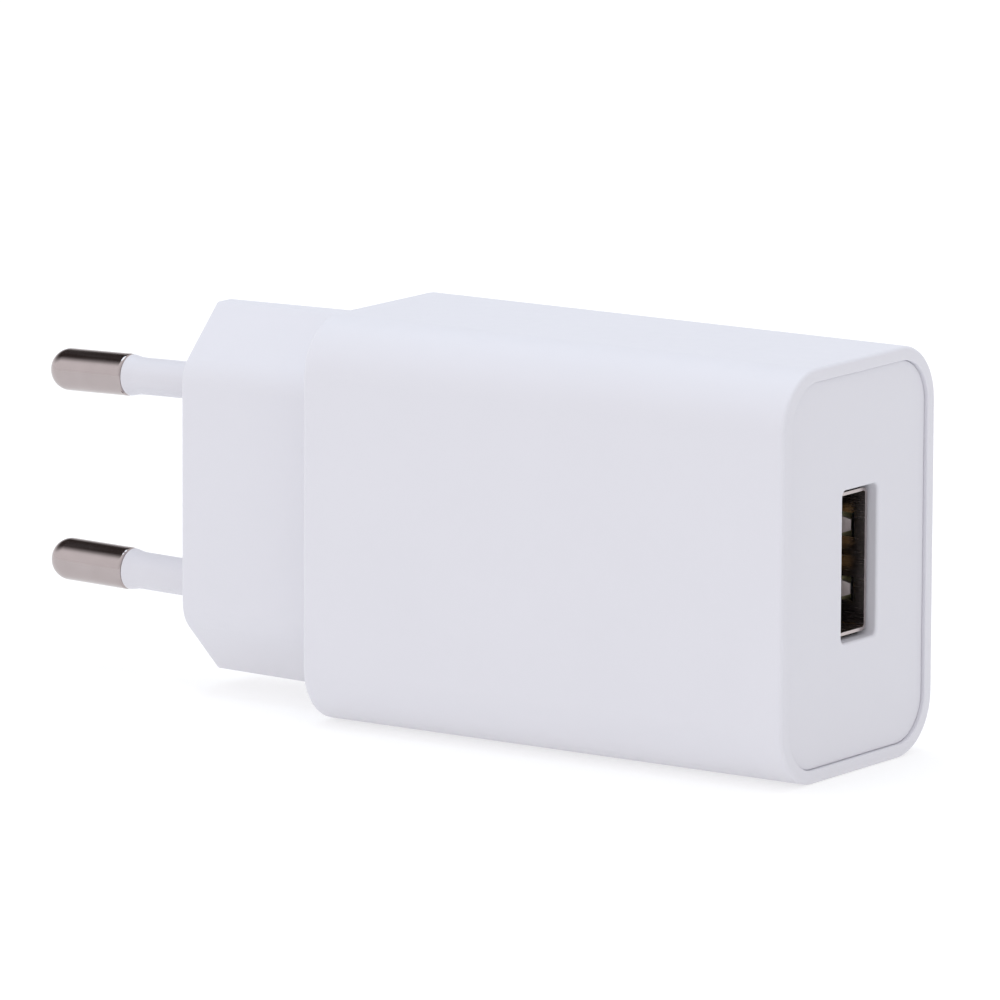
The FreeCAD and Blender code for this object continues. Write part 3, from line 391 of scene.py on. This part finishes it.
class Finish:
    """A material under construction: a Principled shader fed by object-space textures."""

    def __init__(self, name, metallic=0.0, ior=1.5):
        self.material = bpy.data.materials.new(name)
        self.material.use_nodes = True
        self.tree = self.material.node_tree
        self.shader = self.tree.nodes["Principled BSDF"]
        self.shader.inputs["Metallic"].default_value = metallic
        self.shader.inputs["IOR"].default_value = ior
        self.place = self.add("ShaderNodeTexCoord").outputs["Object"]
        self.height = None

    def add(self, kind, **settings):
        node = self.tree.nodes.new(kind)
        for key, value in settings.items():
            setattr(node, key, value)
        return node

    def link(self, start, end):
        self.tree.links.new(start, end)

    def stretched(self, scale):
        """Object coordinates scaled unevenly along X, Y and Z."""
        node = self.add("ShaderNodeMapping")
        node.inputs["Scale"].default_value = scale
        self.link(self.place, node.inputs["Vector"])
        return node.outputs["Vector"]

    def noise(self, size, detail=2.0, place=None):
        """Noise whose blobs are about size metres across, from 0 to 1."""
        node = self.add("ShaderNodeTexNoise")
        node.inputs["Scale"].default_value = 1 / size
        node.inputs["Detail"].default_value = detail
        self.link(place or self.place, node.inputs["Vector"])
        return node.outputs["Fac"]

    def waves(self, size, direction, distortion=0.0):
        """Ridges across one axis, size metres apart."""
        node = self.add("ShaderNodeTexWave", bands_direction=direction)
        node.inputs["Scale"].default_value = WAVE_PERIOD / size
        node.inputs["Distortion"].default_value = distortion
        self.link(self.place, node.inputs["Vector"])
        return node.outputs["Fac"]

    def ranged(self, value, low, high, start=0.25, end=0.75):
        """Maps the span from start to end of a value onto low to high."""
        node = self.add("ShaderNodeMapRange")
        span = {"From Min": start, "From Max": end, "To Min": low, "To Max": high}
        for key, number in span.items():
            node.inputs[key].default_value = number
        self.link(value, node.inputs["Value"])
        return node.outputs["Result"]

    def mixed(self, factor, first, second):
        """A colour between first and second, each a colour or a socket."""
        node = self.add("ShaderNodeMix", data_type="RGBA")
        self.link(factor, node.inputs["Factor"])
        for index, colour in ((MIX_FIRST, first), (MIX_SECOND, second)):
            if isinstance(colour, bpy.types.NodeSocket):
                self.link(colour, node.inputs[index])
            else:
                node.inputs[index].default_value = (*colour, 1.0)
        return node.outputs[MIX_RESULT]

    def along(self, axis):
        """The object's X, Y or Z coordinate in metres."""
        node = self.add("ShaderNodeSeparateXYZ")
        self.link(self.place, node.inputs["Vector"])
        return node.outputs[axis]

    def colour(self, socket):
        """Colours the shader from a socket."""
        self.link(socket, self.shader.inputs["Base Color"])

    def roughness(self, socket):
        """Roughens the shader from a socket."""
        self.link(socket, self.shader.inputs["Roughness"])

    def bump(self, height, depth):
        """Adds relief of a depth in metres, over any relief that is already there."""
        node = self.add("ShaderNodeBump")
        node.inputs["Distance"].default_value = depth
        node.inputs["Strength"].default_value = 1.0
        self.link(height, node.inputs["Height"])
        if self.height:
            self.link(self.height, node.inputs["Normal"])
        self.height = node.outputs["Normal"]
        self.link(self.height, self.shader.inputs["Normal"])


def white_plastic():
    """Satin moulded plastic: faint mottling, a fine spark texture and a slow ripple."""
    finish = Finish("white_plastic", ior=1.49)
    mottle = finish.noise(9 * MM, 3.0)
    finish.colour(finish.mixed(mottle, (0.672, 0.665, 0.710), (0.686, 0.679, 0.724)))
    finish.roughness(finish.ranged(finish.noise(1.2 * MM, 4.0), 0.48, 0.58))
    finish.bump(finish.noise(0.16 * MM, 2.0), 0.0035 * MM)
    finish.bump(finish.noise(14 * MM, 1.0), 0.006 * MM)
    finish.shader.inputs["Subsurface Weight"].default_value = 0.06
    finish.shader.inputs["Subsurface Radius"].default_value = (1.0, 1.0, 1.0)
    finish.shader.inputs["Subsurface Scale"].default_value = 0.6 * MM
    return finish.material


def sleeve_plastic():
    """A softer, slightly smoother plastic than the housing's, with faint draw lines along it."""
    finish = Finish("sleeve_plastic", ior=1.49)
    mottle = finish.noise(3 * MM, 2.0)
    finish.colour(finish.mixed(mottle, (0.643, 0.632, 0.674), (0.658, 0.647, 0.690)))
    finish.roughness(finish.ranged(finish.noise(0.8 * MM, 3.0), 0.36, 0.50))
    lines = finish.noise(0.5 * MM, 2.0, finish.stretched(ALONG_X))
    finish.bump(lines, 0.006 * MM)
    return finish.material


def pin_nickel():
    """Nickel plate over turned brass: turning rings, rubbed streaks along it and dull patches."""
    finish = Finish("pin_nickel", metallic=1.0)
    patches = finish.noise(1.6 * MM, 4.0)
    finish.colour(finish.mixed(patches, (0.402, 0.350, 0.345), (0.453, 0.397, 0.392)))
    streaks = finish.noise(0.35 * MM, 3.0, finish.stretched(RUBBED_ALONG_X))
    finish.roughness(finish.ranged(streaks, 0.10, 0.22))
    finish.bump(finish.waves(0.11 * MM, "X", 1.5), 0.0012 * MM)
    finish.bump(streaks, 0.0015 * MM)
    return finish.material


def strip_steel(name, dark, light, rough):
    """Tin-plated strip: rolled grain along X and cloudy plating."""
    finish = Finish(name, metallic=1.0)
    finish.colour(finish.mixed(finish.noise(1.5 * MM, 3.0), dark, light))
    grain = finish.noise(0.12 * MM, 3.0, finish.stretched(ALONG_X))
    finish.roughness(finish.ranged(grain, *rough))
    finish.bump(grain, 0.002 * MM)
    return finish.material


def spring_metal(name, dark, light):
    """Gold or bronze spring strip, or solder, with grain along X."""
    finish = Finish(name, metallic=1.0)
    finish.colour(finish.mixed(finish.noise(0.8 * MM, 3.0), dark, light))
    grain = finish.noise(0.1 * MM, 2.0, finish.stretched(ALONG_X))
    finish.roughness(finish.ranged(grain, 0.18, 0.32))
    finish.bump(grain, 0.0015 * MM)
    return finish.material


def moulded(name, dark, light, rough=(0.45, 0.6), grain=0.2 * MM, depth=0.006 * MM):
    """A moulded, dipped or pressed insulator with its own two shades and grain."""
    finish = Finish(name)
    finish.colour(finish.mixed(finish.noise(2.5 * MM, 3.0), dark, light))
    finish.roughness(finish.ranged(finish.noise(0.6 * MM, 3.0), *rough))
    finish.bump(finish.noise(grain, 3.0), depth)
    return finish.material


TRACK_LENGTH = 5.2 * MM
TRACK_PITCH = 2.6 * MM
TRACK_GAP = 0.35 * MM
MASK_DEPTH = 0.04 * MM


def board_laminate():
    """Green mask, paler over the copper and raised in the gaps between; the edge is bare."""
    finish = Finish("board_laminate")
    tracks = finish.add("ShaderNodeTexBrick")
    tracks.inputs["Scale"].default_value = 1.0
    tracks.inputs["Brick Width"].default_value = TRACK_LENGTH
    tracks.inputs["Row Height"].default_value = TRACK_PITCH
    tracks.inputs["Mortar Size"].default_value = TRACK_GAP
    lying = finish.add("ShaderNodeVectorRotate", rotation_type="X_AXIS")
    lying.inputs["Angle"].default_value = math.pi / 2
    finish.link(finish.place, lying.inputs["Vector"])
    finish.link(lying.outputs["Vector"], tracks.inputs["Vector"])
    mask = finish.mixed(finish.noise(3 * MM, 3.0), (0.004, 0.030, 0.012), (0.007, 0.042, 0.017))
    over_copper = finish.mixed(tracks.outputs["Fac"], (0.012, 0.075, 0.028), mask)
    back, face = BOARD_HIGH.y - MASK_DEPTH, BOARD_LOW.y + MASK_DEPTH
    depth_in = finish.ranged(finish.along("Y"), 1.0, 0.0, back, BOARD_HIGH.y)
    depth_out = finish.ranged(finish.along("Y"), 0.0, 1.0, BOARD_LOW.y, face)
    bare = finish.add("ShaderNodeMath", operation="MULTIPLY")
    finish.link(depth_in, bare.inputs[0])
    finish.link(depth_out, bare.inputs[1])
    finish.colour(finish.mixed(bare.outputs["Value"], over_copper, (0.42, 0.40, 0.22)))
    finish.roughness(finish.ranged(finish.noise(0.8 * MM, 3.0), 0.25, 0.4))
    finish.bump(tracks.outputs["Fac"], 0.03 * MM)
    return finish.material


def copper_winding():
    """Enamelled wire, unevenly coated, wound round X, the transformer coil's axis, with the grooves
    between the windings painted dark as painted shade.
    """
    finish = Finish("copper", metallic=1.0)
    wire_turns_and_groove_shade = finish.waves(0.3 * MM, "X", 0.4)
    enamel = finish.mixed(finish.noise(1.2 * MM, 3.0), (0.50, 0.18, 0.07), (0.66, 0.27, 0.11))
    # The grooves between the windings are painted dark: painted shade, not a colour of the wire.
    finish.colour(finish.mixed(wire_turns_and_groove_shade, (0.22, 0.07, 0.03), enamel))
    finish.roughness(finish.ranged(finish.noise(0.3 * MM, 2.0), 0.22, 0.38))
    finish.bump(wire_turns_and_groove_shade, 0.08 * MM)
    return finish.material


# Bare wire starts this far in front of the board, over this short a change.
WIRE_REACH = 0.25 * MM
WIRE_CHANGE = 0.02 * MM


def with_leads(name, dark, light, rough):
    """A part's body colour, turning to bright tinned wire next to and behind the board."""
    finish = Finish(name)
    body = finish.mixed(finish.noise(2 * MM, 3.0), dark, light)
    start = BOARD_LOW.y - WIRE_REACH
    wire = finish.ranged(finish.along("Y"), 0.0, 1.0, start, start + WIRE_CHANGE)
    finish.colour(finish.mixed(wire, body, (0.62, 0.60, 0.57)))
    finish.link(wire, finish.shader.inputs["Metallic"])
    finish.roughness(finish.ranged(finish.noise(0.6 * MM, 3.0), *rough))
    finish.bump(finish.noise(0.4 * MM, 3.0), 0.008 * MM)
    return finish.material


def floor_acrylic():
    """A lit white table, as used for cut-out product photographs, with a faint grain."""
    finish = Finish("floor_acrylic")
    finish.colour(finish.mixed(finish.noise(60 * MM, 2.0), (0.50, 0.50, 0.50), (0.52, 0.52, 0.52)))
    finish.roughness(finish.ranged(finish.noise(2 * MM, 3.0), 0.75, 0.9))
    finish.bump(finish.noise(0.5 * MM, 3.0), 0.01 * MM)
    finish.shader.inputs["Emission Color"].default_value = (1.0, 1.0, 1.0, 1.0)
    finish.shader.inputs["Emission Strength"].default_value = 0.50
    return finish.material


FINISHES = {
    "white_plastic": white_plastic(),
    "sleeve_plastic": sleeve_plastic(),
    "pin_nickel": pin_nickel(),
    "shell_steel": strip_steel("shell_steel", (0.46, 0.41, 0.40), (0.54, 0.48, 0.47), (0.18, 0.3)),
    # The fingers' steel is painted much brighter than the shell's: a painted highlight.
    "finger_steel_painted_highlight": strip_steel("finger_steel_painted_highlight", (0.8, 0.74, 0.73), (0.88, 0.82, 0.81), (0.3, 0.42)),
    "contact_gold": spring_metal("contact_gold", (0.72, 0.50, 0.20), (0.83, 0.61, 0.28)),
    "contact_bronze": spring_metal("contact_bronze", (0.52, 0.28, 0.13), (0.66, 0.38, 0.19)),
    "solder": spring_metal("solder", (0.50, 0.50, 0.49), (0.66, 0.66, 0.65)),
    "holder_plastic": moulded("holder_plastic", (0.60, 0.60, 0.62), (0.66, 0.66, 0.68)),
    "port_plastic": moulded("port_plastic", (0.012, 0.011, 0.011), (0.022, 0.020, 0.020)),
    "black_epoxy": moulded("black_epoxy", (0.015, 0.015, 0.016), (0.03, 0.03, 0.03), (0.5, 0.7)),
    "film": moulded("film", (0.66, 0.60, 0.38), (0.72, 0.66, 0.44), (0.2, 0.3), 1.5 * MM),
    "ferrite": moulded("ferrite", (0.035, 0.035, 0.04), (0.07, 0.07, 0.075), (0.5, 0.75), 0.1 * MM),
    "bobbin_plastic": moulded("bobbin_plastic", (0.03, 0.027, 0.025), (0.05, 0.045, 0.04)),
    "yellow_tape": moulded("yellow_tape", (0.72, 0.45, 0.02), (0.80, 0.53, 0.04), (0.2, 0.35)),
    "chip_ceramic": moulded("chip_ceramic", (0.30, 0.22, 0.14), (0.42, 0.32, 0.21), (0.4, 0.6)),
    "copper": copper_winding(),
    "board_laminate": board_laminate(),
    "can_sleeve": with_leads("can_sleeve", (0.012, 0.016, 0.04), (0.02, 0.026, 0.06), (0.2, 0.3)),
    "resistor_body": with_leads(
        "resistor_body", (0.12, 0.32, 0.46), (0.16, 0.38, 0.52), (0.3, 0.45)
    ),
    "varistor_epoxy": with_leads(
        "varistor_epoxy", (0.03, 0.09, 0.33), (0.04, 0.12, 0.4), (0.2, 0.32)
    ),
    "safety_cap_epoxy": with_leads(
        "safety_cap_epoxy", (0.05, 0.2, 0.42), (0.07, 0.25, 0.5), (0.2, 0.32)
    ),
}

# The bent fingers are painted brighter than the shell they are cut from: a painted highlight
# standing in for the light they catch at the port's mouth.
NODE_FINISHES = {"usb_grip_fingers_near": "finger_steel_painted_highlight", "usb_grip_fingers_far": "finger_steel_painted_highlight"}


def dress(piece, finish):
    """Gives a piece one finish in place of any that it has."""
    piece.data.materials.clear()
    piece.data.materials.append(FINISHES[finish])


def place_pieces():
    """Makes each visible piece, and gives the CAD nodes that stay their finishes."""
    made = [
        (make_housing(), "housing", "white_plastic"),
        (make_front_cap(), "front_cap", "white_plastic"),
    ]
    for side in ("upper", "lower"):
        made.append((make_pin(side), f"pin_{side}", "pin_nickel"))
        made.append((make_sleeve(side), f"pin_sleeve_{side}", "sleeve_plastic"))
    for piece, node, slot in made:
        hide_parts(node)
        dress(piece, slot)
    replaced = {node for _, node, _ in made}
    for part in frame["record"]["subparts"]:
        if part["node"] not in replaced:
            finish = NODE_FINISHES.get(part["node"], part["material_slot"])
            dress(frame["nodes"][part["node"]], finish)


# ---- floor, light and camera -----------------------------------------------------------


FLOOR_HALF_SIZE = 3.0


def make_floor():
    """A plain table under the charger, level with the side it stands on."""
    mesh = bmesh.new()
    bmesh.ops.create_grid(mesh, x_segments=8, y_segments=8, size=FLOOR_HALF_SIZE)
    data = bpy.data.meshes.new("floor")
    mesh.to_mesh(data)
    mesh.free()
    floor = bpy.data.objects.new("floor", data)
    floor.location = (0, 0, HOUSING_LOW.z)
    bpy.context.scene.collection.objects.link(floor)
    data.materials.append(floor_acrylic())


# The dome's brightness is even but for a slope towards one direction and one dark patch, which
# only reflections show, so that the pins mirror it and the plastic is lit evenly.
SKY_MIDDLE = (0.942, 0.938, 0.955)
SKY_SLOPE_TOWARDS = (-0.76, -0.44, 0.48)
SKY_SLOPE = 0.22
SKY_DARK = (0.035, 0.026, 0.024)
DARK_TOWARDS = (-0.557, 0.256, 0.789)
DARK_INNER = math.cos(math.radians(18))
DARK_OUTER = math.cos(math.radians(50))


def make_sky():
    """A pale studio dome, with one unlit patch high behind the pins for them to reflect."""
    world = bpy.data.worlds.new("studio")
    bpy.context.scene.world = world
    world.use_nodes = True
    tree = world.node_tree
    background = tree.nodes["Background"]
    direction = tree.nodes.new("ShaderNodeTexCoord").outputs["Generated"]

    def towards(vector, low, high, bottom, top):
        """How far a direction faces a vector, from low to high, mapped onto bottom to top."""
        facing = tree.nodes.new("ShaderNodeVectorMath")
        facing.operation = "DOT_PRODUCT"
        tree.links.new(direction, facing.inputs[0])
        facing.inputs[1].default_value = vector
        mapped = tree.nodes.new("ShaderNodeMapRange")
        mapped.interpolation_type = "LINEAR" if low < 0 else "SMOOTHSTEP"
        span = {"From Min": low, "From Max": high, "To Min": bottom, "To Max": top}
        for key, number in span.items():
            mapped.inputs[key].default_value = number
        tree.links.new(facing.outputs["Value"], mapped.inputs["Value"])
        return mapped.outputs["Result"]

    reflected = tree.nodes.new("ShaderNodeMath")
    reflected.operation = "MULTIPLY"
    path = tree.nodes.new("ShaderNodeLightPath")
    tree.links.new(path.outputs["Is Glossy Ray"], reflected.inputs[0])
    tree.links.new(towards(DARK_TOWARDS, DARK_OUTER, DARK_INNER, 0, 1), reflected.inputs[1])
    patch = tree.nodes.new("ShaderNodeMix")
    patch.data_type = "RGBA"
    tree.links.new(reflected.outputs["Value"], patch.inputs["Factor"])
    patch.inputs[MIX_FIRST].default_value = (*SKY_MIDDLE, 1)
    patch.inputs[MIX_SECOND].default_value = (*SKY_DARK, 1)
    tree.links.new(patch.outputs[MIX_RESULT], background.inputs["Color"])
    slope = towards(SKY_SLOPE_TOWARDS, -1, 1, 1 - SKY_SLOPE, 1 + SKY_SLOPE)
    tree.links.new(slope, background.inputs["Strength"])


SOFTBOX_PLACE = Vector((-0.10, 0.10, 0.90))
SOFTBOX_TARGET = Vector((0.03, 0, 0))
SOFTBOX_SIZE = 0.6
SOFTBOX_POWER = 2.45
SOFTBOX_COLOUR = (0.72, 0.88, 1.0)


def make_softbox():
    """A large round light overhead, a little bluer than the dome."""
    data = bpy.data.lights.new("softbox", "AREA")
    data.shape = "DISK"
    data.size = SOFTBOX_SIZE
    data.energy = SOFTBOX_POWER
    data.color = SOFTBOX_COLOUR
    light = bpy.data.objects.new("softbox", data)
    light.location = SOFTBOX_PLACE
    light.rotation_euler = (SOFTBOX_PLACE - SOFTBOX_TARGET).to_track_quat("Z", "Y").to_euler()
    bpy.context.scene.collection.objects.link(light)


CAMERA_AZIMUTH = math.radians(34.48)
CAMERA_ELEVATION = math.radians(10.26)
CAMERA_ROLL = math.radians(0.26)
CAMERA_DISTANCE = 0.94659
CAMERA_TARGET = Vector((31.48 * MM, 0, 1.77 * MM))
CAMERA_LENS = 371.2
CAMERA_SENSOR = 36.0
CAMERA_NEAR = 0.01
CAMERA_FAR = 20.0


def make_camera():
    """A long lens at the photograph's angle, looking near the middle of the charger."""
    level = math.cos(CAMERA_ELEVATION)
    back = Vector((
        math.sin(CAMERA_AZIMUTH) * level,
        -math.cos(CAMERA_AZIMUTH) * level,
        math.sin(CAMERA_ELEVATION),
    ))
    right = Vector((math.cos(CAMERA_AZIMUTH), math.sin(CAMERA_AZIMUTH), 0))
    up = back.cross(right)
    rolled_right = right * math.cos(CAMERA_ROLL) + up * math.sin(CAMERA_ROLL)
    rolled_up = back.cross(rolled_right)
    data = bpy.data.cameras.new("camera")
    data.lens = CAMERA_LENS
    data.sensor_width = CAMERA_SENSOR
    data.clip_start = CAMERA_NEAR
    data.clip_end = CAMERA_FAR
    camera = bpy.data.objects.new("camera", data)
    turn = Matrix((rolled_right, rolled_up, back)).transposed().to_4x4()
    camera.matrix_world = Matrix.Translation(CAMERA_TARGET + back * CAMERA_DISTANCE) @ turn
    bpy.context.scene.collection.objects.link(camera)
    bpy.context.scene.camera = camera


place_pieces()
make_floor()
make_sky()
make_softbox()
make_camera()
bpy.context.scene.view_settings.view_transform = "Standard"
